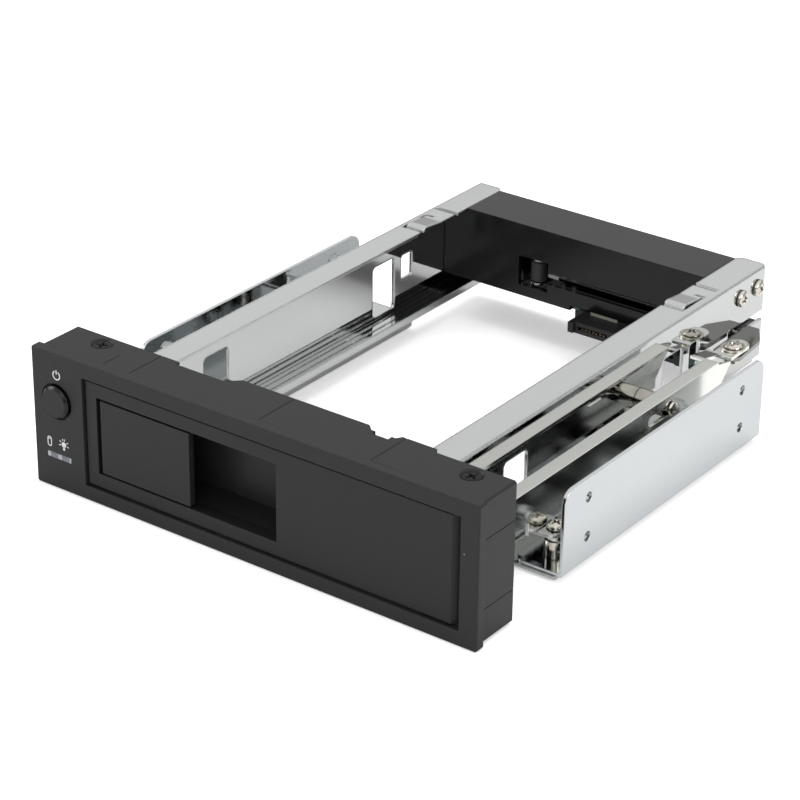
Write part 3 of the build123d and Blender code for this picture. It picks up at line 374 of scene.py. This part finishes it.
def lamp_window():
    """A clear strip that shows the pale moulded cells of the lamps behind it."""
    material, place = new_material("lamp_window")
    along = place.node("SeparateXYZ", {}, {"Vector": place}, output=0)
    cell = (along * 1500.0).maths("SINE", 0.0).ramp((0.0, 0.25), (0.45, 0.4), (0.7, 1.0), (1.0, 0.85))
    low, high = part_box("light_window")
    for axis in (0, 2):
        aside = place.node("SeparateXYZ", {}, {"Vector": place}, output=axis) - (low[axis] + high[axis]) / 2
        inner = (high[axis] - low[axis]) / 2 - 0.00028
        cell = cell * aside.maths("ABSOLUTE", 0.0).maths("LESS_THAN", inner)
    cloud = place.stretch(1, 1, 2).noise(700, 3)
    return close_material(material, place, {
        "Base Color": (cell * (0.35 + 0.65 * cloud)).tint((0.035, 0.038, 0.05), (0.52, 0.53, 0.56)),
        "Roughness": 0.18 + 0.1 * cloud,
        "Coat Weight": 0.4,
    })


dress(lamp_window(), "light_window", "indicator_lamps")


# The door is a flush panel of the same black plastic, polished a little smoother, with the
# pull latch set into its finger tub.
door_black = grained_plastic("door_black", (0.0115, 0.0119, 0.0128), (0.0155, 0.016, 0.0172), 0.38, 0.22, 0.0003, 0.24)
dress(door_black, "door_panel", "latch_lever")


# Rails, brackets and the arm are pressed from bright stainless sheet. It is rolled along the
# cage, so its fine lines and its soft ripples run from front to rear.
def bright_sheet(name, dark, light, rough, ripple, lines, edge):
    material, place = new_material(name)
    rolled = place.stretch(900, 14, 900).noise(1, 4, 0.6)
    smear = place.stretch(60, 9, 60).noise(1, 3)
    wave = place.stretch(22, 9, 30).noise(1, 2)
    scratch = place.stretch(260, 30, 260).noise(1, 5, 0.7).ramp((0.0, 0.0), (0.66, 0.0), (0.72, 1.0))
    round_edge = place.node("Bevel", {"samples": 4}, {"Radius": edge})
    waved = place.bump(wave, ripple, 0.002, round_edge)
    lined = place.bump(rolled + 0.4 * scratch, lines, 0.00002, waved)
    return close_material(material, place, {
        "Base Color": smear.tint(dark, light),
        "Metallic": 1.0,
        "Roughness": rough + 0.05 * smear * rolled + 0.05 * scratch,
        "Normal": lined,
    })


rail_steel = bright_sheet("rail_steel", (0.515, 0.525, 0.52), (0.59, 0.60, 0.595), 0.035, 0.05, 0.1, 0.0009)
dress(rail_steel, "left_rail", "right_rail", "left_drive_ledge", "right_drive_ledge")
bracket_steel = bright_sheet("bracket_steel", (0.55, 0.57, 0.58), (0.63, 0.65, 0.66), 0.05, 0.04, 0.12, 0.0004)
dress(bracket_steel, "left_bracket", "right_bracket")
arm_steel = bright_sheet("arm_steel", (0.80, 0.80, 0.765), (0.92, 0.92, 0.88), 0.12, 0.05, 0.2, 0.0004)
dress(arm_steel, "actuator_arm")
lever_steel = bright_sheet("lever_steel", (0.2, 0.2, 0.195), (0.3, 0.3, 0.29), 0.14, 0.05, 0.2, 0.0003)
dress(lever_steel, "ejector_lever")


# Screws, posts and pins are nickel-plated steel, a little warmer and rougher than the sheet.
# The bezel's two screws are blackened.
def plated_steel(name, dark, light, rough):
    material, place = new_material(name)
    cloud = place.noise(500, 4)
    fine = place.noise(4000, 2)
    round_edge = place.node("Bevel", {"samples": 4}, {"Radius": 0.00015})
    # The ambient-occlusion value turns the base colour near black in the cross recesses and crevices: painted shade.
    open_sky = place.node("AmbientOcclusion", {"samples": 8}, {"Distance": 0.0008}, output=1)
    painted_shade_mix = open_sky.ramp((0.4, 0.03), (0.85, 1.0))
    bright = cloud.tint(dark, light)
    return close_material(material, place, {
        "Base Color": place.node("Mix", {"data_type": "RGBA"}, {0: painted_shade_mix, 6: (0.01, 0.01, 0.01, 1), 7: bright}, output=2),
        "Metallic": 1.0,
        "Roughness": rough + 0.1 * cloud,
        "Normal": place.bump(fine, 0.2, 0.00002, round_edge),
    })


nickel = plated_steel("nickel_plate", (0.50, 0.47, 0.41), (0.78, 0.75, 0.68), 0.07)
dress(nickel, "bracket_posts", "backplane_screw", "door_hinge_pins", "latch_pin", "arm_guide_post",
      "arm_washer", "lever_pivot_pin")
black_oxide = plated_steel("black_oxide", (0.012, 0.012, 0.013), (0.03, 0.03, 0.032), 0.3)
dress(black_oxide, "roller_pin")


def cross_depth(x, y, radius):
    """How deep the cross recess of a screw head is at a point of the head, from 0 to 1."""
    arm, half = 0.62 * radius, 0.13 * radius
    x, y = abs(x), abs(y)
    if y > x:
        x, y = y, x
    side = min(1.0, max(0.0, (half - y) / (0.05 * radius)))
    end = min(1.0, max(0.0, (arm - x) / (0.16 * radius)))
    middle = min(1.0, max(0.0, (0.3 * radius - math.hypot(x, y)) / (0.1 * radius)))
    return max(side * end, middle)


def screw_head(mesh, turn, radius, height, crown, shank, length):
    """One cross-head screw: crowned head over a rim, and a threaded shank, along its own Z."""
    rings = 26
    spokes = 72
    rows = []
    for ring in range(1, rings + 1):
        share = ring / rings
        row = []
        for spoke in range(spokes):
            angle = 2 * math.pi * spoke / spokes
            x, y = share * radius * math.cos(angle), share * radius * math.sin(angle)
            top = height + crown * math.sqrt(max(0.0, 1 - share ** 2.6)) - crown
            top -= 0.62 * height * cross_depth(x, y, radius)
            row.append(mesh.verts.new(turn @ Vector((x, y, top))))
        rows.append(row)
    rim = [(radius, 0.12 * height), (radius * 0.96, 0.0), (shank, 0.0)]
    pitch = 0.22 * shank
    depth = 0.0
    while depth < length:
        rim.extend([(shank * 0.86, -depth - pitch), (shank, -depth - 2 * pitch)])
        depth += 2 * pitch
    for reach, z in rim:
        row = []
        for spoke in range(spokes):
            angle = 2 * math.pi * spoke / spokes
            row.append(mesh.verts.new(turn @ Vector((reach * math.cos(angle), reach * math.sin(angle), z))))
        rows.append(row)
    top_middle = mesh.verts.new(turn @ Vector((0, 0, height * 0.38)))
    for spoke in range(spokes):
        after = (spoke + 1) % spokes
        mesh.faces.new((top_middle, rows[0][spoke], rows[0][after]))
        for inner, outer in zip(rows, rows[1:]):
            mesh.faces.new((inner[spoke], outer[spoke], outer[after], inner[after]))
    mesh.faces.new(reversed(rows[-1]))


def screws(name, node, material, places, size):
    """The cross-head screws that stand for one CAD node, at their places and directions."""
    mesh = bmesh.new()
    for place, direction, twist in places:
        turn = direction.to_track_quat("Z", "Y").to_matrix().to_4x4() @ Matrix.Rotation(math.radians(twist), 4, "Z")
        screw_head(mesh, Matrix.Translation(place) @ turn, *(value / 1000 for value in size))
    piece = finish_piece(mesh, name, material, "frame")
    for face in piece.data.polygons:
        face.use_smooth = True
    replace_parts(piece, node)


def solid_boxes(node):
    """The box of each separate solid of a CAD node."""
    mesh = bmesh.new()
    mesh.from_mesh(nodes[node].data)
    bmesh.ops.remove_doubles(mesh, verts=mesh.verts, dist=1e-6)
    boxes = []
    left = set(mesh.verts)
    while left:
        start = left.pop()
        found = [start]
        front = [start]
        while front:
            for edge in front.pop().link_edges:
                for vert in edge.verts:
                    if vert in left:
                        left.discard(vert)
                        found.append(vert)
                        front.append(vert)
        low = Vector([min(v.co[i] for v in found) for i in range(3)])
        high = Vector([max(v.co[i] for v in found) for i in range(3)])
        boxes.append((low, high))
    mesh.free()
    return sorted(boxes, key=lambda box: tuple(round(value, 4) for value in box[0]))


def under_heads(node, axis, sign, height):
    """Where the heads of a node's screws seat, from their boxes: middle across, top along axis."""
    seats = []
    for low, high in solid_boxes(node):
        seat = (low + high) / 2
        seat[axis] = (high if sign > 0 else low)[axis] - sign * height / 1000
        seats.append(seat)
    return seats


up = Vector((0, 0, 1))
twists = (12, 47, 70, 28)
seats = under_heads("bracket_screws", 2, 1, 1.9)
screws("bracket_screw_set", "bracket_screws", nickel,
       [(seat, up, twist) for seat, twist in zip(seats, twists)], (2.65, 1.9, 1.2, 1.15, 6.4))
seats = [(seat, Vector((1, 0, 0))) for seat in under_heads("housing_screws", 0, 1, 1.7)[2:]]
seats += [(seat, Vector((-1, 0, 0))) for seat in under_heads("housing_screws", 0, -1, 1.7)[:2]]
screws("housing_screw_set", "housing_screws", nickel,
       [(seat, out, twist) for (seat, out), twist in zip(seats, twists)], (2.6, 1.65, 1.1, 1.15, 3.6))
seats = under_heads("cover_screws", 1, 1, 1.3)
screws("cover_screw_set", "cover_screws", nickel,
       [(seat, Vector((0, 1, 0)), twist) for seat, twist in zip(seats, twists)], (2.35, 1.25, 0.8, 1.15, 4.6))
seats = under_heads("front_board_screws", 1, 1, 1.2)
screws("front_board_screw_set", "front_board_screws", nickel,
       [(seat, Vector((0, 1, 0)), twist) for seat, twist in zip(seats, twists)], (1.85, 1.15, 0.7, 0.72, 3.6))
seats = under_heads("arm_guide_screw", 0, 1, 1.1)
screws("guide_screw", "arm_guide_screw", nickel,
       [(seats[0], Vector((1, 0, 0)), 33)], (2.05, 1.05, 0.7, 0.8, 4.6))
pivot = bmesh.new()
seat = under_heads("arm_pivot_screw", 2, 1, 1.1)[0]
screw_head(pivot, Matrix.Translation(seat) @ Matrix.Rotation(math.radians(15), 4, "Z"), 0.00265, 0.00105, 0.0008, 0.0014, 0.0036)
bmesh.ops.create_cone(pivot, cap_ends=True, segments=48, radius1=0.0026, radius2=0.0026, depth=0.0008,
                      matrix=Matrix.Translation(seat - 0.004 * up))
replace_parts(finish_piece(pivot, "pivot_screw", nickel, "arm"), "arm_pivot_screw")
seats = under_heads("bezel_screws", 2, 1, 1.3)
screws("bezel_screw_set", "bezel_screws", black_oxide,
       [(seat, up, twist) for seat, twist in zip(seats, (20, 62))], (2.8, 1.2, 0.35, 1.4, 1.6))


# The rear housing is a glossy black moulding that mirrors the rails. The roller and the
# sockets are plainer black plastic.
def gloss_plastic(name, colour, lighter, rough, gloss):
    material, place = new_material(name)
    cloud = place.noise(40, 3)
    wave = place.noise(25, 2)
    round_edge = place.node("Bevel", {"samples": 4}, {"Radius": 0.0003})
    return close_material(material, place, {
        "Base Color": cloud.tint(colour, lighter),
        "Roughness": rough + 0.08 * cloud,
        "Specular IOR Level": gloss,
        "Normal": place.bump(wave, 0.05, 0.001, round_edge),
    })


housing_black = gloss_plastic("housing_black", (0.002, 0.002, 0.0023), (0.0035, 0.0035, 0.004), 0.13, 0.3)
dress(housing_black, "rear_housing")
socket_black = gloss_plastic("socket_black", (0.008, 0.008, 0.009), (0.013, 0.013, 0.0145), 0.35, 0.3)
dress(socket_black, "drive_receptacle", "data_socket", "power_socket")
dress(gloss_plastic("roller_grey", (0.02, 0.02, 0.0205), (0.028, 0.028, 0.0285), 0.42, 0.3), "roller")


# Both boards are glass-fibre laminate under green lacquer, with gilt contacts in the
# receptacle and the sockets.
def lacquered_board():
    material, place = new_material("board_green")
    cloud = place.noise(300, 3)
    weave = place.node("TexWave", {"bands_direction": "DIAGONAL"}, {"Vector": place, "Scale": 2500.0}, output=1)
    return close_material(material, place, {
        "Base Color": cloud.tint((0.02, 0.075, 0.055), (0.04, 0.12, 0.08)),
        "Roughness": 0.32 + 0.1 * cloud,
        "Normal": place.bump(weave, 0.1, 0.00002),
    })


def gilt():
    material, place = new_material("gilt")
    cloud = place.noise(1500, 2)
    return close_material(material, place, {
        "Base Color": cloud.tint((0.86, 0.68, 0.36), (0.98, 0.84, 0.54)),
        "Metallic": 1.0,
        "Roughness": 0.22 + 0.12 * cloud,
    })


dress(lacquered_board(), "backplane_board", "front_board")
dress(gilt(), "receptacle_contacts", "socket_contacts")


# A short pale label is stuck over the receptacle's rear flange, above its shell. It is
# paper under a clear film, so it is slightly blotchy and satin.
def label_paper():
    material, place = new_material("label_paper")
    cloud = place.noise(1100, 4)
    return close_material(material, place, {
        "Base Color": cloud.tint((0.30, 0.31, 0.25), (0.46, 0.47, 0.39)),
        "Roughness": 0.4 + 0.2 * cloud,
    })


LABEL_SIZE = Vector((9.6, 0.08, 1.0)) / 1000
receptacle_low, receptacle_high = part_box("drive_receptacle")
label = bmesh.new()
label_place = Vector((spot(8.7, 0, 0).x, receptacle_high.y - 0.00184, receptacle_high.z - 0.0001))
bmesh.ops.create_cube(label, size=1, matrix=Matrix.Translation(label_place) @ Matrix.Diagonal((*LABEL_SIZE, 1)))
finish_piece(label, "receptacle_label", label_paper(), "frame")
